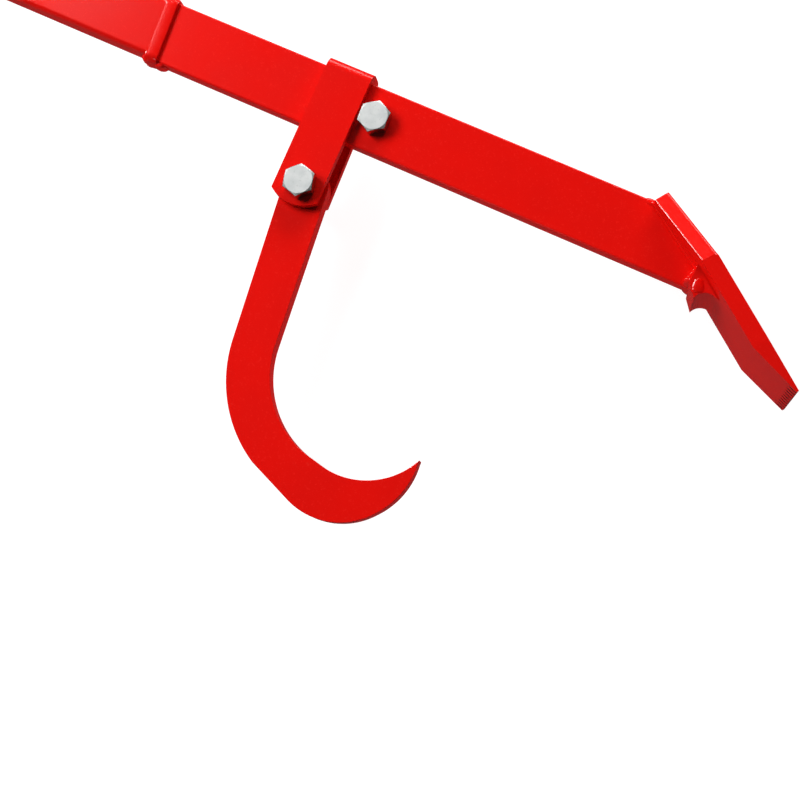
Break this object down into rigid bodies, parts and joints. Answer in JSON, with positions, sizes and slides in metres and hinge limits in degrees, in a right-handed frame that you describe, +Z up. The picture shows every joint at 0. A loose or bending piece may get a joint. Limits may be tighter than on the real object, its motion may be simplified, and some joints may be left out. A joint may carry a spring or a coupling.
{
  "type": "felling lever with cant hook",
  "caption": "Red steel felling lever with a serrated, flared foot, a hook that swings in a strap sliding on the flat bar, and a tubular handle with a black rubber sleeve.",
  "frame": {"origin": "middle of the underside of the whole lever's box, with the lever lying flat on its side", "axes": "+X along the handle towards the foot's tip, +Y across the bar away from the hook, +Z up towards the bolt heads"},
  "size_m": [1.3, 0.257, 0.0666],
  "materials": {
    "red_powder_coat": "glossy",
    "zinc_plated_steel": "satin",
    "black_rubber": "matte",
    "blue_nylon": "matte"
  },
  "bodies": {
    "lever": {"lever_bar": "red_powder_coat", "handle_tube": "red_powder_coat", "tube_weld": "red_powder_coat", "grip_sleeve": "black_rubber", "foot_plate": "red_powder_coat", "foot_weld": "red_powder_coat", "stop_bolt": "zinc_plated_steel", "stop_washer": "zinc_plated_steel", "stop_nut": "zinc_plated_steel", "stop_nut_insert": "blue_nylon"},
    "strap": {"hook_strap": "red_powder_coat", "pivot_bolt": "zinc_plated_steel", "pivot_washer": "zinc_plated_steel", "pivot_nut": "zinc_plated_steel", "pivot_nut_insert": "blue_nylon"},
    "hook": {"cant_hook": "red_powder_coat"}
  },
  "joints": [
    {"name": "strap_slide", "type": "slide", "parent": "lever", "child": "strap", "axis": [1, 0, 0], "range_m": [-0.09, 0]},
    {"name": "hook_hinge", "type": "hinge", "parent": "strap", "child": "hook", "pos_m": [0.33683, 0.04785, 0.0333], "axis": [0, 0, 1], "range_deg": [-105, 51]}
  ]
}
